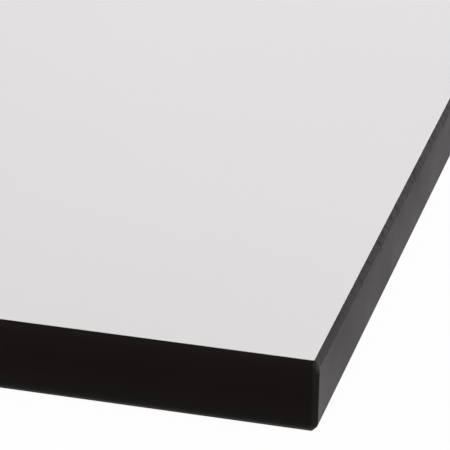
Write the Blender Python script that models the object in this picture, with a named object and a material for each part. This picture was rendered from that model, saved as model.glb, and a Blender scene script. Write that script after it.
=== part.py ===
"""Compact laminate sheet: one solid board with a black core, pale decor faces and eased edges.

The sheet lies flat on its lower decor face. X runs along its length, Y across its width and Z
through its thickness, and the origin is the middle of the underside. Every edge, the four upright
ones at the corners included, is eased with a 45 degree arris that cuts through the thin decor and
shows the black core. Three arrises meet at each corner in a small mitred facet. The cutter leaves
a crisp turn where an arris meets the decor, and sanding rounds the turn towards the edge.
"""

import math

import bmesh
import bpy
from mathutils import Vector

# Driving dimensions, in metres
LENGTH = 3.050
WIDTH = 1.300
THICKNESS = 0.013
ARRIS_LEG = 0.0010
# Radius of the turn from a decor face to its arris, and from that arris to the edge
DECOR_BREAK = 0.0002
EDGE_BREAK = 0.0010
# Radius of the turns beside the upright arrises and round the corner facets
CORNER_BREAK = 0.00025

# How finely each turn is rounded
BREAK_SEGMENTS = 4
# The angle of the turn from a flat face to its 45 degree arris
ARRIS_TURN = math.radians(45)

SHEET_NAME = "laminate_sheet"
DECOR_SLOT = 0
CORE_SLOT = 1

DECOR_COLOUR = (0.75, 0.74, 0.745)
DECOR_ROUGHNESS = 0.45
CORE_COLOUR = (0.008, 0.007, 0.007)
CORE_ROUGHNESS = 0.4


def clear_scene():
    for old in list(bpy.data.objects):
        bpy.data.objects.remove(old, do_unlink=True)


def finish(name, colour, roughness):
    """A Principled material with one colour and one roughness."""
    material = bpy.data.materials.new(name)
    material.use_nodes = True
    shader = material.node_tree.nodes["Principled BSDF"]
    shader.inputs["Base Color"].default_value = (*colour, 1.0)
    shader.inputs["Roughness"].default_value = roughness
    shader.inputs["Metallic"].default_value = 0.0
    material.diffuse_color = (*colour, 1.0)
    return material


def decor_finish():
    """The faces: printed paper under a melamine overlay, pale grey-white with a fine matt texture."""
    return finish("decor_pale_grey", DECOR_COLOUR, DECOR_ROUGHNESS)


def core_finish():
    """The cut edges: black kraft paper pressed solid with phenolic resin."""
    return finish("core_black", CORE_COLOUR, CORE_ROUGHNESS)


def sawn_outline(length, width):
    """The corners of the sheet on its underside, anticlockwise seen from above."""
    x = length / 2
    y = width / 2
    return [Vector((-x, -y, 0)), Vector((x, -y, 0)), Vector((x, y, 0)), Vector((-x, y, 0))]


def sawn_board(length, width, thickness):
    """The square-edged board: its outline extruded up through the thickness."""
    board = bmesh.new()
    corners = [board.verts.new(corner) for corner in sawn_outline(length, width)]
    underside = board.faces.new(corners)
    raised = bmesh.ops.extrude_face_region(board, geom=[underside])
    top_corners = [item for item in raised["geom"] if isinstance(item, bmesh.types.BMVert)]
    bmesh.ops.translate(board, verts=top_corners, vec=(0, 0, thickness))
    bmesh.ops.recalc_face_normals(board, faces=board.faces)
    return board


def ease_edges(board, leg):
    """Cuts a flat arris along all twelve edges, with the same leg on both faces."""
    bmesh.ops.bevel(
        board,
        geom=list(board.edges),
        offset=leg,
        offset_type="OFFSET",
        segments=1,
        affect="EDGES",
    )
    board.normal_update()


def assign_slots(board, thickness):
    """The two broad faces keep their decor, and all the rest is bare core."""
    for face in board.faces:
        heights = [vertex.co.z for vertex in face.verts]
        is_level = max(heights) - min(heights) < thickness / 1000
        face.material_index = DECOR_SLOT if is_level else CORE_SLOT


def slant(face):
    """0 for an upright face, 1 for a level one, and between them for an arris or a corner facet."""
    return round(abs(face.normal.z), 1)


def break_radius(edge):
    """The radius of the turn along an edge, by how the two faces beside it stand."""
    steeper, flatter = sorted(slant(face) for face in edge.link_faces)
    if flatter == 1:
        return DECOR_BREAK
    if steeper == 0 and flatter > 0:
        return EDGE_BREAK
    return CORNER_BREAK


def weigh_breaks(board):
    """Stores each edge's radius as a share of the widest one, which the Bevel modifier reads."""
    weights = board.edges.layers.float.new("bevel_weight_edge")
    for edge in board.edges:
        edge[weights] = break_radius(edge) / EDGE_BREAK


def break_arrises(sheet):
    """Rounds the turns beside the arrises, and keeps the flats shaded flat."""
    rounding = sheet.modifiers.new("arris_breaks", "BEVEL")
    rounding.offset_type = "OFFSET"
    rounding.width = EDGE_BREAK * math.tan(ARRIS_TURN / 2)
    rounding.segments = BREAK_SEGMENTS
    rounding.limit_method = "WEIGHT"
    rounding.harden_normals = True
    rounding.material = CORE_SLOT


def laminate_sheet():
    board = sawn_board(LENGTH, WIDTH, THICKNESS)
    ease_edges(board, ARRIS_LEG)
    assign_slots(board, THICKNESS)
    weigh_breaks(board)
    mesh = bpy.data.meshes.new(SHEET_NAME)
    board.to_mesh(mesh)
    board.free()
    mesh.shade_smooth()
    mesh.materials.append(decor_finish())
    mesh.materials.append(core_finish())
    sheet = bpy.data.objects.new(SHEET_NAME, mesh)
    bpy.context.collection.objects.link(sheet)
    break_arrises(sheet)
    return sheet


def main():
    clear_scene()
    laminate_sheet()


main()
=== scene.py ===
"""Dresses a compact laminate sheet: pale decor faces over a black core, with eased edges.

The sheet lies on a pale studio floor. The camera looks down on its right front corner through a
long lens, so the picture takes in one corner of a full sheet.
"""

import math

import bmesh
import bpy
from bpy.props import FloatProperty, FloatVectorProperty, IntProperty, PointerProperty
from mathutils import Matrix, Vector


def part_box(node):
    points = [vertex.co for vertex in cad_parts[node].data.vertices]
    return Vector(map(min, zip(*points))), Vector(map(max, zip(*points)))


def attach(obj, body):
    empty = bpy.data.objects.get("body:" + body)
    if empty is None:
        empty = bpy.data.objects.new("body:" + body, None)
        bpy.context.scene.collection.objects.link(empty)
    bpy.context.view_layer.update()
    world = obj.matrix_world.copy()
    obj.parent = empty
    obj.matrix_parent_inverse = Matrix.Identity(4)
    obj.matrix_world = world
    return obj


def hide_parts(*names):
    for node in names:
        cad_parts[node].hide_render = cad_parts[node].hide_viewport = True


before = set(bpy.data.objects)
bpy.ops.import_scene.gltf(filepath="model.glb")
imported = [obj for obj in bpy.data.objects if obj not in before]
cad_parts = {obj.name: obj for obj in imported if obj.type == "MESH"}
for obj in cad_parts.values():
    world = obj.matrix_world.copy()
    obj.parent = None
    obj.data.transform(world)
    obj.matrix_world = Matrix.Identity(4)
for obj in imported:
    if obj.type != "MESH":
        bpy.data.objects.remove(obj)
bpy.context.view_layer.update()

bl_info = {
    "name": "Compact Laminate Sheet",
    "version": (1, 0, 0),
    "blender": (4, 5, 0),
    "location": "3D View > Sidebar > Laminate",
    "description": "Finishes a compact laminate sheet and sets it in a plain studio",
    "category": "Object",
}

SHEET_NODE = "laminate_sheet"
SHEET_BODY = "root"
PIECE_NAME = "dressed_sheet"
LOW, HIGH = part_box(SHEET_NODE)
THICKNESS = HIGH.z - LOW.z
# The corner that the camera looks at: the right front one, where it meets the floor
CORNER = Vector((HIGH.x, LOW.y, LOW.z))

DECOR_SLOT = 0
CORE_SLOT = 1
# The turn from a flat face to its 45 degree arris
ARRIS_TURN = math.radians(45)
# How far one kraft layer's tone and one burnished patch run along an edge, in metres
LAYER_RUN = 0.05
PATCH_RUN = 0.014
# The middle of a noise's range, from which it swings both ways
MIDDLE = 0.5
# How many finer sizes a noise holds, and how strong each is beside the one before
NOISE_DETAIL = 3.0
NOISE_ROUGHNESS = 0.5
WHITE = (1.0, 1.0, 1.0, 1.0)
FLOOR_SIDES = 96
# In millimetres, as the lens is
SENSOR_WIDTH = 36.0


# Sizes, finishes and studio settings that a user may change

class SheetSizes(bpy.types.PropertyGroup):
    arris_leg: FloatProperty(
        name="Arris leg",
        description="How far the 45 degree arris reaches along each face",
        default=0.001, min=0.0001, max=0.005, subtype="DISTANCE", unit="LENGTH", precision=5,
    )
    decor_break: FloatProperty(
        name="Decor break",
        description="Radius of the crisp break where an arris meets a decor face",
        default=0.0002, min=0.0001, max=0.001, subtype="DISTANCE", unit="LENGTH", precision=5,
    )
    edge_break: FloatProperty(
        name="Edge break",
        description="Radius of the soft break where an arris meets the edge below or above it",
        default=0.001, min=0.0001, max=0.002, subtype="DISTANCE", unit="LENGTH", precision=5,
    )
    corner_break: FloatProperty(
        name="Corner break",
        description="Radius of the breaks round the upright arris and the corner facets",
        default=0.00025, min=0.0001, max=0.001, subtype="DISTANCE", unit="LENGTH", precision=5,
    )
    break_segments: IntProperty(
        name="Break segments",
        description="How finely each sanded break is rounded",
        default=6, min=1, max=12,
    )
    decor_depth: FloatProperty(
        name="Decor depth",
        description="Thickness of the decor paper and its overlay, which the arris cuts through",
        default=0.00005, min=0.0, max=0.0005, subtype="DISTANCE", unit="LENGTH", precision=5,
    )


class DecorFinish(bpy.types.PropertyGroup):
    colour: FloatVectorProperty(
        name="Decor colour",
        description="Colour of the printed paper under its melamine overlay",
        default=(0.739, 0.716, 0.727), min=0.0, max=1.0, subtype="COLOR",
    )
    roughness: FloatProperty(
        name="Decor roughness",
        description="Roughness of the pressed matt texture",
        default=0.42, min=0.0, max=1.0, subtype="FACTOR",
    )
    texture_pitch: FloatProperty(
        name="Texture pitch",
        description="Distance between the bumps of the pressed texture",
        default=0.0009, min=0.0001, max=0.02, subtype="DISTANCE", unit="LENGTH", precision=5,
    )
    texture_height: FloatProperty(
        name="Texture height",
        description="Height of the pressed texture, from its hollows to its bumps",
        default=0.000012, min=0.0, max=0.0002, subtype="DISTANCE", unit="LENGTH", precision=6,
    )
    texture_gloss: FloatProperty(
        name="Texture gloss range",
        description="How much the roughness differs between hollows and bumps",
        default=0.08, min=0.0, max=1.0, subtype="FACTOR",
    )
    cloud_pitch: FloatProperty(
        name="Cloud size",
        description="Size of the faint clouds in the printed paper",
        default=0.16, min=0.001, max=1.0, subtype="DISTANCE", unit="LENGTH",
    )
    cloud_contrast: FloatProperty(
        name="Cloud contrast",
        description="How much lighter and darker the clouds are than the paper's own colour",
        default=0.04, min=0.0, max=0.5, subtype="FACTOR",
    )


class CoreFinish(bpy.types.PropertyGroup):
    colour: FloatVectorProperty(
        name="Core colour",
        description="Colour of the black kraft core where it is cut",
        default=(0.0056, 0.0030, 0.0024), min=0.0, max=1.0, subtype="COLOR",
    )
    contrast: FloatProperty(
        name="Core contrast",
        description="How much lighter and darker the layers and marks are than the core's own colour",
        default=0.8, min=0.0, max=1.0, subtype="FACTOR",
    )
    gloss: FloatProperty(
        name="Core gloss",
        description="Strength of the edge's reflection, where 0.5 is that of a common resin",
        default=0.06, min=0.0, max=1.0, subtype="FACTOR",
    )
    roughness: FloatProperty(
        name="Core roughness",
        description="Roughness of the sawn and sanded edge at the upper face",
        default=0.425, min=0.0, max=1.0, subtype="FACTOR",
    )
    polish: FloatProperty(
        name="Polish",
        description="How much smoother the edge is at the lower face, where the cutter burnishes it",
        default=0.06, min=0.0, max=1.0, subtype="FACTOR",
    )
    corner_polish: FloatProperty(
        name="Corner polish",
        description="How much smoother the edge is at a corner, where handling rubs it",
        default=0.08, min=0.0, max=1.0, subtype="FACTOR",
    )
    corner_reach: FloatProperty(
        name="Corner reach",
        description="How far the rubbed zone reaches along an edge from a corner",
        default=0.016, min=0.001, max=0.5, subtype="DISTANCE", unit="LENGTH",
    )
    # The scuff colour below is partly painted light. Besides scuffing, it paints bounce light from the
    # floor as a lighter grey near the lower face and up to mid height.
    scuff_and_bounce_colour: FloatVectorProperty(
        name="Scuff colour",
        description="Colour of the core where handling has scuffed it grey",
        default=(0.014, 0.014, 0.013), min=0.0, max=1.0, subtype="COLOR",
    )
    # Painted bounce light: this reach and the face share below also lighten the edge towards the lower
    # face, where the floor lights it from below.
    bounce_and_scuff_reach: FloatProperty(
        name="Scuff reach",
        description="How far the scuffing from sliding on other sheets runs up from the lower face",
        default=0.002, min=0.0001, max=0.01, subtype="DISTANCE", unit="LENGTH", precision=5,
    )
    face_scuff_and_bounce: FloatProperty(
        name="Face scuff",
        description="Share of scuffed grey beside each decor face, with as much again at the lower one",
        default=0.15, min=0.0, max=1.0, subtype="FACTOR",
    )
    face_reach: FloatProperty(
        name="Face scuff reach",
        description="How far that share runs out from a decor face; the second one ends at mid height",
        default=0.005, min=0.0001, max=0.01, subtype="DISTANCE", unit="LENGTH", precision=5,
    )
    arris_scuff: FloatProperty(
        name="Arris scuff",
        description="Share of scuffed grey on the upright arrises where they meet the end edges",
        default=0.44, min=0.0, max=1.0, subtype="FACTOR",
    )
    arris_fade: FloatProperty(
        name="Arris fade",
        description="How far the scuffing of an upright arris runs out onto the end edge beside it",
        default=0.0001, min=0.00001, max=0.01, subtype="DISTANCE", unit="LENGTH", precision=5,
    )
    turn_scuff: FloatProperty(
        name="Turn scuff",
        description="Share of scuffed grey on the turns between arris and edge along the ends",
        default=0.8, min=0.0, max=1.0, subtype="FACTOR",
    )
    turn_reach: FloatProperty(
        name="Turn reach",
        description="How far the scuffing of a turn runs out to both sides of it",
        default=0.0005, min=0.0001, max=0.01, subtype="DISTANCE", unit="LENGTH", precision=5,
    )
    # Painted highlight: this colour and the two reaches below paint a soft glint of light at the tip of
    # each upper corner as a light grey. It is not a mark left by knocks.
    tip_highlight_colour: FloatVectorProperty(
        name="Tip colour",
        description="Colour of the core where knocks have rubbed the tip of an upper corner",
        default=(0.06, 0.06, 0.059), min=0.0, max=1.0, subtype="COLOR",
    )
    tip_highlight_reach: FloatProperty(
        name="Tip reach",
        description="How far the rubbed tip runs up and down from the foot of its corner facet",
        default=0.0014, min=0.0001, max=0.01, subtype="DISTANCE", unit="LENGTH", precision=5,
    )
    tip_highlight_fade: FloatProperty(
        name="Tip fade",
        description="How far the rubbed tip runs out along the edges beside it",
        default=0.0008, min=0.0001, max=0.01, subtype="DISTANCE", unit="LENGTH", precision=5,
    )
    nick_pitch: FloatProperty(
        name="Nick pitch",
        description="Distance between the small nicks along the arrises beside the decor",
        default=0.0018, min=0.0001, max=0.02, subtype="DISTANCE", unit="LENGTH", precision=5,
    )
    nick_cover: FloatProperty(
        name="Nick cover",
        description="How much of the arris the nicks take up, from none at 0.2 to nearly all at 0.8",
        default=0.545, min=0.1, max=1.0, subtype="FACTOR",
    )
    nick_depth: FloatProperty(
        name="Nick depth",
        description="Depth of a nick at full strength; a usual one reaches about a tenth of it",
        default=0.0002, min=0.0, max=0.0005, subtype="DISTANCE", unit="LENGTH", precision=6,
    )
    nick_reach: FloatProperty(
        name="Nick reach",
        description="How far from the decor line the nicks have faded out",
        default=0.0026, min=0.0001, max=0.01, subtype="DISTANCE", unit="LENGTH", precision=5,
    )
    nick_roughness: FloatProperty(
        name="Nick roughness",
        description="How much rougher a nick at full strength is than the arris round it",
        default=0.8, min=0.0, max=1.0, subtype="FACTOR",
    )
    nick_clear: FloatProperty(
        name="Nick clearing",
        description="How far from a corner handling has rubbed nicks away, all of them at the corner",
        default=0.045, min=0.001, max=0.5, subtype="DISTANCE", unit="LENGTH",
    )
    mottle: FloatProperty(
        name="Mottle",
        description="How much the roughness differs from patch to patch along the edge",
        default=0.15, min=0.0, max=1.0, subtype="FACTOR",
    )
    layer_pitch: FloatProperty(
        name="Layer pitch",
        description="Thickness of one kraft layer in the core",
        default=0.00022, min=0.00005, max=0.002, subtype="DISTANCE", unit="LENGTH", precision=5,
    )
    mark_pitch: FloatProperty(
        name="Cutter mark pitch",
        description="Distance between the cutter marks that cross the edge",
        default=0.0011, min=0.0001, max=0.01, subtype="DISTANCE", unit="LENGTH", precision=5,
    )
    relief: FloatProperty(
        name="Edge relief",
        description="Height of the layers and cutter marks, from their hollows to their ridges",
        default=0.000004, min=0.0, max=0.0001, subtype="DISTANCE", unit="LENGTH", precision=6,
    )


class StudioSettings(bpy.types.PropertyGroup):
    floor_radius: FloatProperty(
        name="Floor radius",
        description="Radius of the round floor",
        default=120.0, min=1.0, max=500.0, subtype="DISTANCE", unit="LENGTH",
    )
    floor_colour: FloatVectorProperty(
        name="Floor colour",
        description="Colour of the plain floor",
        default=(0.955, 0.925, 0.975), min=0.0, max=1.0, subtype="COLOR",
    )
    floor_lift: FloatProperty(
        name="Floor lift",
        description="Share of plain white in the floor as the camera sees it",
        default=0.96, min=0.0, max=1.0, subtype="FACTOR",
    )
    mirrored_lift: FloatProperty(
        name="Mirrored lift",
        description="Share of plain white in the floor as reflections and clear materials see it",
        default=0.3, min=0.0, max=1.0, subtype="FACTOR",
    )
    sky_strength: FloatProperty(
        name="Surround strength",
        description="Light from the white surround",
        default=0.5, min=0.0, max=5.0,
    )
    key_strength: FloatProperty(
        name="Key strength",
        description="Light from the soft key lamp, high up to the right and a little in front",
        default=1.53, min=0.0, max=20.0,
    )
    key_spread: FloatProperty(
        name="Key spread",
        description="Width of the key lamp as the sheet sees it",
        default=math.radians(40), min=0.0, max=math.pi, subtype="ANGLE", unit="ROTATION",
    )
    key_direction: FloatVectorProperty(
        name="Key direction",
        description="Direction in which the key lamp stands",
        default=(0.58, -0.25, 0.775), subtype="DIRECTION",
    )
    rim_strength: FloatProperty(
        name="Rim strength",
        description="Light from the soft low lamp behind the right end, which catches the arrises",
        default=0.34, min=0.0, max=20.0,
    )
    rim_colour: FloatVectorProperty(
        name="Rim colour",
        description="Colour of the rim lamp's light",
        default=(1.0, 0.89, 0.97), min=0.0, max=1.0, subtype="COLOR",
    )
    rim_spread: FloatProperty(
        name="Rim spread",
        description="Width of the rim lamp as the sheet sees it",
        default=math.radians(30), min=0.0, max=math.pi, subtype="ANGLE", unit="ROTATION",
    )
    rim_direction: FloatVectorProperty(
        name="Rim direction",
        description="Direction in which the rim lamp stands",
        default=(0.46, 0.87, 0.17), subtype="DIRECTION",
    )
    back_strength: FloatProperty(
        name="Back strength",
        description="Light from the soft low lamp behind the sheet, which glides over the top",
        default=0.13, min=0.0, max=20.0,
    )
    back_spread: FloatProperty(
        name="Back spread",
        description="Width of the back lamp as the sheet sees it",
        default=math.radians(30), min=0.0, max=math.pi, subtype="ANGLE", unit="ROTATION",
    )
    back_direction: FloatVectorProperty(
        name="Back direction",
        description="Direction in which the back lamp stands",
        default=(-0.17, 0.95, 0.28), subtype="DIRECTION",
    )


class ViewSettings(bpy.types.PropertyGroup):
    lens: FloatProperty(
        name="Lens",
        description="Focal length on a 36 mm wide sensor, in millimetres",
        default=204.63, min=10.0, max=1000.0, subtype="DISTANCE_CAMERA", unit="CAMERA",
    )
    offset: FloatVectorProperty(
        name="Camera offset",
        description="Where the camera stands, from the sheet's right front corner on the floor",
        default=(0.077279, -0.358244, 0.201136), subtype="TRANSLATION", unit="LENGTH", precision=5,
    )
    heading: FloatProperty(
        name="Heading",
        description="Direction of view, turned from straight across the sheet towards its left end",
        default=math.radians(14.578), subtype="ANGLE", unit="ROTATION",
    )
    tilt: FloatProperty(
        name="Tilt",
        description="How far the camera looks down",
        default=math.radians(24.122), subtype="ANGLE", unit="ROTATION",
    )
    roll: FloatProperty(
        name="Roll",
        description="How far the camera is turned about its line of sight",
        default=math.radians(0.854), subtype="ANGLE", unit="ROTATION",
    )


class LaminateSettings(bpy.types.PropertyGroup):
    sizes: PointerProperty(
        name="Sizes",
        description="Sizes of the arrises, the breaks beside them and the decor layers",
        type=SheetSizes,
    )
    decor: PointerProperty(
        name="Decor",
        description="Finish of the two printed faces",
        type=DecorFinish,
    )
    core: PointerProperty(
        name="Core",
        description="Finish of the black core on edges and arrises",
        type=CoreFinish,
    )
    studio: PointerProperty(
        name="Studio",
        description="Floor, surround and lamps",
        type=StudioSettings,
    )
    view: PointerProperty(
        name="View",
        description="Lens and place of the camera",
        type=ViewSettings,
    )


# Shader building

class Amount:
    """A value in a node tree. Arithmetic on it adds the Math nodes."""

    def __init__(self, tree, socket):
        self.tree = tree
        self.socket = socket

    def math(self, operation, *inputs, clamp=False):
        node = self.tree.nodes.new("ShaderNodeMath")
        node.operation = operation
        node.use_clamp = clamp
        for socket, value in zip(node.inputs, inputs):
            plug(self.tree, socket, value)
        return Amount(self.tree, node.outputs[0])

    def __add__(self, other):
        return self.math("ADD", self, other)

    __radd__ = __add__

    def __sub__(self, other):
        return self.math("SUBTRACT", self, other)

    def __rsub__(self, other):
        return self.math("SUBTRACT", other, self)

    def __mul__(self, other):
        return self.math("MULTIPLY", self, other)

    __rmul__ = __mul__

    def __abs__(self):
        return self.math("ABSOLUTE", self)

    def mean(self, other):
        return MIDDLE * (self + other)

    def clamped(self):
        return self.math("ADD", self, 0.0, clamp=True)


def plug(tree, socket, value):
    """Links a wrapped or plain socket to an input, or sets the input to a number or colour."""
    if isinstance(value, Amount):
        tree.links.new(value.socket, socket)
    elif isinstance(value, bpy.types.NodeSocket):
        tree.links.new(value, socket)
    else:
        socket.default_value = value


class Shading:
    """The node tree of a material or a world, and the calls that add to it."""

    def __init__(self, tree):
        self.tree = tree
        tree.nodes.clear()

    def node(self, kind, settings=None, sockets=None):
        """Adds a node, then makes its settings, then sets or links its sockets by name or place."""
        node = self.tree.nodes.new(kind)
        for name, value in (settings or {}).items():
            setattr(node, name, value)
        for name, value in (sockets or {}).items():
            plug(self.tree, node.inputs[name], value)
        return node

    def amount(self, node, output=0):
        return Amount(self.tree, node.outputs[output])

    def point(self):
        """The point being shaded, in metres from the middle of the underside."""
        return self.node("ShaderNodeTexCoord").outputs["Object"]

    def axis(self, point, name):
        """How far the point lies along one axis."""
        node = self.node("ShaderNodeSeparateXYZ", sockets={"Vector": point})
        return self.amount(node, name)

    def stretched(self, point, pitch):
        """The point with each axis measured in its own pitch."""
        scale = tuple(1 / size for size in pitch)
        node = self.node("ShaderNodeVectorMath", {"operation": "MULTIPLY"}, {0: point, 1: scale})
        return node.outputs[0]

    def noise(self, point, pitch):
        """Noise from 0 to 1, with features about one pitch apart along each axis."""
        node = self.node(
            "ShaderNodeTexNoise",
            sockets={
                "Vector": self.stretched(point, pitch),
                "Scale": 1.0,
                "Detail": NOISE_DETAIL,
                "Roughness": NOISE_ROUGHNESS,
            },
        )
        return self.amount(node, "Fac")

    def blend(self, share, first, second):
        """A colour between two colours."""
        node = self.node("ShaderNodeMix", {"data_type": "RGBA"}, {"Factor": share})
        colour_inputs = [socket for socket in node.inputs if socket.type == "RGBA"]
        for socket, colour in zip(colour_inputs, (first, second)):
            plug(self.tree, socket, colour)
        return next(socket for socket in node.outputs if socket.type == "RGBA")

    def mix(self, share, first, second):
        """A shader between two shaders."""
        sockets = {0: share, 1: first.outputs[0], 2: second.outputs[0]}
        return self.node("ShaderNodeMixShader", sockets=sockets)

    def bump(self, height):
        """The normal of a surface whose relief is a height in metres."""
        sockets = {"Height": height, "Distance": 1.0, "Strength": 1.0}
        return self.node("ShaderNodeBump", sockets=sockets).outputs["Normal"]

    def finish_with(self, shader, kind="ShaderNodeOutputMaterial"):
        self.node(kind, sockets={"Surface": shader.outputs[0]})


def evenly(pitch):
    """One pitch for all three axes."""
    return (pitch, pitch, pitch)


def shade(colour, factor):
    """A colour with an alpha of 1, made lighter or darker by a factor."""
    return (*(channel * factor for channel in colour), 1.0)


# Finishes

def decor_material(decor):
    """Pale printed paper under melamine: faint clouds, and a fine pressed texture."""
    material = bpy.data.materials.new("decor_face")
    material.use_nodes = True
    shading = Shading(material.node_tree)
    point = shading.point()
    pebble = shading.noise(point, evenly(decor.texture_pitch))
    cloud = shading.noise(point, evenly(decor.cloud_pitch))
    colour = shading.blend(
        cloud,
        shade(decor.colour, 1 - decor.cloud_contrast),
        shade(decor.colour, 1 + decor.cloud_contrast),
    )
    surface = shading.node(
        "ShaderNodeBsdfPrincipled",
        sockets={
            "Base Color": colour,
            "Roughness": decor.roughness + decor.texture_gloss * (pebble - MIDDLE),
            "Normal": shading.bump(decor.texture_height * pebble),
        },
    )
    shading.finish_with(surface)
    return material


def fading(distance, reach):
    """1 at no distance, and evenly less from there to 0 at the reach."""
    return (1 - distance * (1 / reach)).clamped()


class EdgePlace:
    """Where the point being shaded lies: its distances in from the faces, ends and long sides."""

    def __init__(self, shading):
        self.point = shading.point()
        self.height = shading.axis(self.point, "Z")
        self.from_decor = THICKNESS / 2 - abs(self.height - THICKNESS / 2)
        self.from_end = HIGH.x - abs(shading.axis(self.point, "X"))
        self.from_side = HIGH.y - abs(shading.axis(self.point, "Y"))
        self.from_corner = self.from_end + self.from_side


def end_share(place, core, arris_leg):
    """1 on the end edges, and less across the upright arrises to 0 on the long edges."""
    across_arris = (place.from_side * (1 / arris_leg)).clamped()
    return across_arris * fading(place.from_end - arris_leg, core.arris_fade)


def scuff_and_bounce_share(place, core, arris_leg, on_end):
    """Share of grey: scuffing beside the faces and on the arrises of the ends, and painted bounce light
    from the floor, growing from mid height down to the lower face.
    """
    # Painted bounce light: the second term lightens the edge from mid height down to the lower face.
    near_faces_and_lower_half = fading(place.from_decor, core.face_reach) + fading(place.height, THICKNESS / 2)
    on_arris = fading(place.from_corner - arris_leg, core.arris_fade)
    on_turn = fading(abs(place.from_decor - arris_leg), core.turn_reach)
    share = (
        # Painted bounce light as well as scuffing: the last few millimetres above the lower face are
        # lighter grey.
        fading(place.height, core.bounce_and_scuff_reach)
        + core.face_scuff_and_bounce * near_faces_and_lower_half
        + on_end * (core.arris_scuff * on_arris + core.turn_scuff * on_turn)
    )
    return share.clamped()


def tip_highlight_share(place, core, arris_leg, on_end):
    """Share of the painted highlight: 1 at the tip of an upper corner, where it faces the end, and less
    round it.
    """
    from_foot = abs(THICKNESS - arris_leg - place.height)
    beside_corner = fading(place.from_corner - arris_leg, core.tip_highlight_fade)
    return fading(from_foot, core.tip_highlight_reach) * beside_corner * on_end * on_end


def core_colour(shading, place, core, arris_leg, tone):
    """Brownish black of an uneven tone, scuffed grey by handling, with painted bounce light from the
    floor near the lower face and a painted highlight at the tip of each upper corner.
    """
    on_end = end_share(place, core, arris_leg)
    sanded = shading.blend(
        tone,
        shade(core.colour, 1 - core.contrast),
        shade(core.colour, 1 + core.contrast),
    )
    scuff_and_bounce = scuff_and_bounce_share(place, core, arris_leg, on_end)
    # Scuffed grey, with painted bounce light from the floor near the lower face.
    scuffed = shading.blend(scuff_and_bounce, sanded, shade(core.scuff_and_bounce_colour, 1.0))
    # Painted highlight: a light grey at the tip of each upper corner.
    tip_highlight = tip_highlight_share(place, core, arris_leg, on_end)
    return shading.blend(tip_highlight, scuffed, shade(core.tip_highlight_colour, 1.0))


def nick_strength(shading, place, core, worn):
    """0 where an edge is whole, and up to 1 in the nicks, which lie beside the decor."""
    hollows = fading(shading.noise(place.point, evenly(core.nick_pitch)), core.nick_cover)
    kept = 1 - fading(place.from_corner, core.nick_clear)
    return fading(place.from_decor, core.nick_reach) * hollows * worn * kept


def core_material(core, arris_leg):
    """Black kraft layers pressed solid with resin, sawn across, sanded and handled, with painted bounce
    light and a painted highlight in its colour.
    """
    material = bpy.data.materials.new("core_edge")
    material.use_nodes = True
    shading = Shading(material.node_tree)
    place = EdgePlace(shading)
    layers = shading.noise(place.point, (LAYER_RUN, LAYER_RUN, core.layer_pitch))
    marks = shading.noise(place.point, (core.mark_pitch, core.mark_pitch, THICKNESS))
    worn = shading.noise(place.point, (PATCH_RUN, PATCH_RUN, THICKNESS))
    grain = layers.mean(marks)
    patches = worn - MIDDLE
    tone = MIDDLE + MIDDLE * (grain - MIDDLE + patches)
    nicks = nick_strength(shading, place, core, worn)
    polished = (
        core.polish * fading(place.height, THICKNESS)
        + core.corner_polish * fading(place.from_corner, core.corner_reach)
    )
    roughened = core.mottle * patches + core.nick_roughness * nicks
    surface = shading.node(
        "ShaderNodeBsdfPrincipled",
        sockets={
            "Base Color": core_colour(shading, place, core, arris_leg, tone),
            "Roughness": core.roughness - polished + roughened,
            "Specular IOR Level": core.gloss,
            "Normal": shading.bump(core.relief * grain - core.nick_depth * nicks),
        },
    )
    shading.finish_with(surface)
    return material


def looked_at(shading):
    """1 where the camera looks, and 1 where a reflection or a clear material does."""
    path = shading.node("ShaderNodeLightPath")
    camera, glossy, clear = (
        shading.amount(path, name)
        for name in ("Is Camera Ray", "Is Glossy Ray", "Is Transmission Ray")
    )
    return camera, (glossy + clear).clamped()


def floor_material(studio):
    """A pale matt floor that reads as white and still takes the sheet's shadow."""
    material = bpy.data.materials.new("studio_floor")
    material.use_nodes = True
    shading = Shading(material.node_tree)
    matt = shading.node("ShaderNodeBsdfDiffuse", sockets={"Color": shade(studio.floor_colour, 1.0)})
    white = shading.node("ShaderNodeEmission", sockets={"Strength": 1.0})
    camera, mirrored = looked_at(shading)
    lift = studio.floor_lift * camera + studio.mirrored_lift * mirrored
    shading.finish_with(shading.mix(lift, matt, white))
    return material


def white_surround(studio):
    """White light all round, and plain white where it is looked at, itself or mirrored."""
    world = bpy.data.worlds.new("white_surround")
    world.use_nodes = True
    shading = Shading(world.node_tree)
    lighting, shown = (
        shading.node("ShaderNodeBackground", sockets={"Color": WHITE, "Strength": strength})
        for strength in (studio.sky_strength, 1.0)
    )
    camera, mirrored = looked_at(shading)
    shading.finish_with(shading.mix(camera + mirrored, lighting, shown), "ShaderNodeOutputWorld")
    return world


# The sheet

def sawn_board():
    """The square-edged board, with the length, width and thickness of the solid."""
    board = bmesh.new()
    outline = [(LOW.x, LOW.y), (HIGH.x, LOW.y), (HIGH.x, HIGH.y), (LOW.x, HIGH.y)]
    underside = board.faces.new([board.verts.new((x, y, LOW.z)) for x, y in outline])
    raised = bmesh.ops.extrude_face_region(board, geom=[underside])
    top_corners = [item for item in raised["geom"] if isinstance(item, bmesh.types.BMVert)]
    bmesh.ops.translate(board, verts=top_corners, vec=(0.0, 0.0, THICKNESS))
    bmesh.ops.recalc_face_normals(board, faces=board.faces)
    return board


def slant(face):
    """0 for an upright face, 1 for a level one, and between them for an arris or a corner facet."""
    return round(abs(face.normal.z), 1)


def break_radius(edge, sizes):
    """The radius that sanding leaves along an edge, by how the two faces beside it stand."""
    steeper, flatter = sorted(slant(face) for face in edge.link_faces)
    if flatter == 1:
        return sizes.decor_break
    if steeper == 0 and flatter > 0:
        return sizes.edge_break
    return sizes.corner_break


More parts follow.
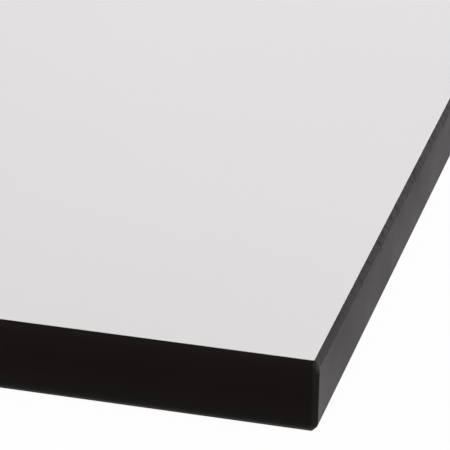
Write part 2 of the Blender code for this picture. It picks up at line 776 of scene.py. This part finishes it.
def weigh_breaks(board, sizes):
    """Stores each edge's break as a share of the widest one, for the Bevel modifier."""
    weights = board.edges.layers.float.new("bevel_weight_edge")
    for edge in board.edges:
        edge[weights] = break_radius(edge, sizes) / sizes.edge_break


def eased_mesh(sizes):
    """The board with its flat arrises, and the weights of the breaks beside them."""
    board = sawn_board()
    bmesh.ops.bevel(
        board, geom=list(board.edges), offset=sizes.arris_leg, offset_type="OFFSET",
        segments=1, affect="EDGES",
    )
    board.normal_update()
    weigh_breaks(board, sizes)
    return to_mesh(board, "eased_board")


def rounded_mesh(eased, sizes):
    """The same mesh with every break rounded."""
    blank = linked("blank", eased)
    rounding = blank.modifiers.new("breaks", "BEVEL")
    rounding.limit_method = "WEIGHT"
    rounding.offset_type = "OFFSET"
    rounding.width = sizes.edge_break * math.tan(ARRIS_TURN / 2)
    rounding.segments = sizes.break_segments
    depsgraph = bpy.context.evaluated_depsgraph_get()
    rounded = bpy.data.meshes.new_from_object(blank.evaluated_get(depsgraph))
    bpy.data.objects.remove(blank, do_unlink=True)
    return rounded


def cut_decor_lines(board, depth):
    """Scores the breaks where the decor layers end, so that each side gets its own finish."""
    for height in (LOW.z + depth, HIGH.z - depth):
        everything = list(board.verts) + list(board.edges) + list(board.faces)
        bmesh.ops.bisect_plane(board, geom=everything, plane_co=(0, 0, height), plane_no=(0, 0, 1))


def assign_slots(board, depth):
    """Gives the outer layers the decor's finish, and everything between them the core's."""
    for face in board.faces:
        height = face.calc_center_median().z
        in_decor = height < LOW.z + depth or height > HIGH.z - depth
        face.material_index = DECOR_SLOT if in_decor else CORE_SLOT


def to_mesh(board, name):
    mesh = bpy.data.meshes.new(name)
    board.to_mesh(mesh)
    board.free()
    return mesh


def sheet_mesh(sizes):
    """The eased and rounded board, with its decor layers told apart from its core."""
    board = bmesh.new()
    board.from_mesh(rounded_mesh(eased_mesh(sizes), sizes))
    cut_decor_lines(board, sizes.decor_depth)
    assign_slots(board, sizes.decor_depth)
    mesh = to_mesh(board, PIECE_NAME)
    mesh.shade_smooth()
    return mesh


def linked(name, data):
    """A new object that holds the data, in the scene."""
    made = bpy.data.objects.new(name, data)
    bpy.context.scene.collection.objects.link(made)
    return made


class LAMINATE_OT_sheet(bpy.types.Operator):
    """Builds the finished sheet in place of the plain solid"""

    bl_idname = "laminate.sheet"
    bl_label = "Make the Sheet"

    def execute(self, context):
        settings = context.scene.laminate
        sheet = linked(PIECE_NAME, sheet_mesh(settings.sizes))
        sheet.data.materials.append(decor_material(settings.decor))
        sheet.data.materials.append(core_material(settings.core, settings.sizes.arris_leg))
        hardened = sheet.modifiers.new("flat_faces_stay_flat", "WEIGHTED_NORMAL")
        hardened.mode = "FACE_AREA"
        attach(sheet, SHEET_BODY)
        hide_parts(SHEET_NODE)
        return {"FINISHED"}


# The studio

def floor_mesh(radius):
    disc = bmesh.new()
    bmesh.ops.create_circle(disc, cap_ends=True, segments=FLOOR_SIDES, radius=radius)
    return to_mesh(disc, "floor")


def soft_lamp(name, strength, spread, direction):
    """A wide soft lamp so far off that it lights the whole sheet evenly."""
    lamp = bpy.data.lights.new(name, "SUN")
    lamp.energy = strength
    lamp.angle = spread
    made = linked(name, lamp)
    made.rotation_mode = "QUATERNION"
    made.rotation_quaternion = Vector(direction).to_track_quat("Z", "Y")
    return lamp


class LAMINATE_OT_studio(bpy.types.Operator):
    """Lays the pale floor and sets the white surround and the soft lamps"""

    bl_idname = "laminate.studio"
    bl_label = "Make the Studio"

    def execute(self, context):
        studio = context.scene.laminate.studio
        floor = linked("floor", floor_mesh(studio.floor_radius))
        floor.location.z = LOW.z
        floor.data.materials.append(floor_material(studio))
        context.scene.world = white_surround(studio)
        soft_lamp("key_lamp", studio.key_strength, studio.key_spread, studio.key_direction)
        rim = soft_lamp("rim_lamp", studio.rim_strength, studio.rim_spread, studio.rim_direction)
        rim.color = studio.rim_colour
        soft_lamp("back_lamp", studio.back_strength, studio.back_spread, studio.back_direction)
        return {"FINISHED"}


class LAMINATE_OT_camera(bpy.types.Operator):
    """Points a long lens down at the sheet's right front corner"""

    bl_idname = "laminate.camera"
    bl_label = "Place the Camera"

    def execute(self, context):
        view = context.scene.laminate.view
        lens = bpy.data.cameras.new("camera")
        lens.sensor_width = SENSOR_WIDTH
        lens.lens = view.lens
        camera = linked("camera", lens)
        turn = Matrix.Rotation(view.heading, 4, "Z")
        lean = Matrix.Rotation(math.pi / 2 - view.tilt, 4, "X")
        roll = Matrix.Rotation(view.roll, 4, "Z")
        camera.matrix_world = Matrix.Translation(CORNER + Vector(view.offset)) @ turn @ lean @ roll
        context.scene.camera = camera
        return {"FINISHED"}


class LAMINATE_PT_sidebar(bpy.types.Panel):
    """Lists the operators and their settings"""

    bl_idname = "LAMINATE_PT_sidebar"
    bl_label = "Laminate Sheet"
    bl_space_type = "VIEW_3D"
    bl_region_type = "UI"
    bl_category = "Laminate"

    def draw(self, context):
        settings = context.scene.laminate
        for operator, groups in (
            (LAMINATE_OT_sheet, (settings.sizes, settings.decor, settings.core)),
            (LAMINATE_OT_studio, (settings.studio,)),
            (LAMINATE_OT_camera, (settings.view,)),
        ):
            box = self.layout.box()
            box.operator(operator.bl_idname)
            for group in groups:
                for name in group.__annotations__:
                    box.prop(group, name)


CLASSES = (
    SheetSizes,
    DecorFinish,
    CoreFinish,
    StudioSettings,
    ViewSettings,
    LaminateSettings,
    LAMINATE_OT_sheet,
    LAMINATE_OT_studio,
    LAMINATE_OT_camera,
    LAMINATE_PT_sidebar,
)


def register():
    for item in CLASSES:
        bpy.utils.register_class(item)
    bpy.types.Scene.laminate = PointerProperty(type=LaminateSettings)


def unregister():
    del bpy.types.Scene.laminate
    for item in reversed(CLASSES):
        bpy.utils.unregister_class(item)


def main():
    register()
    bpy.ops.laminate.camera()
    bpy.ops.laminate.sheet()
    bpy.ops.laminate.studio()
    bpy.context.scene.view_settings.view_transform = "Standard"


if __name__ == "__main__":
    main()
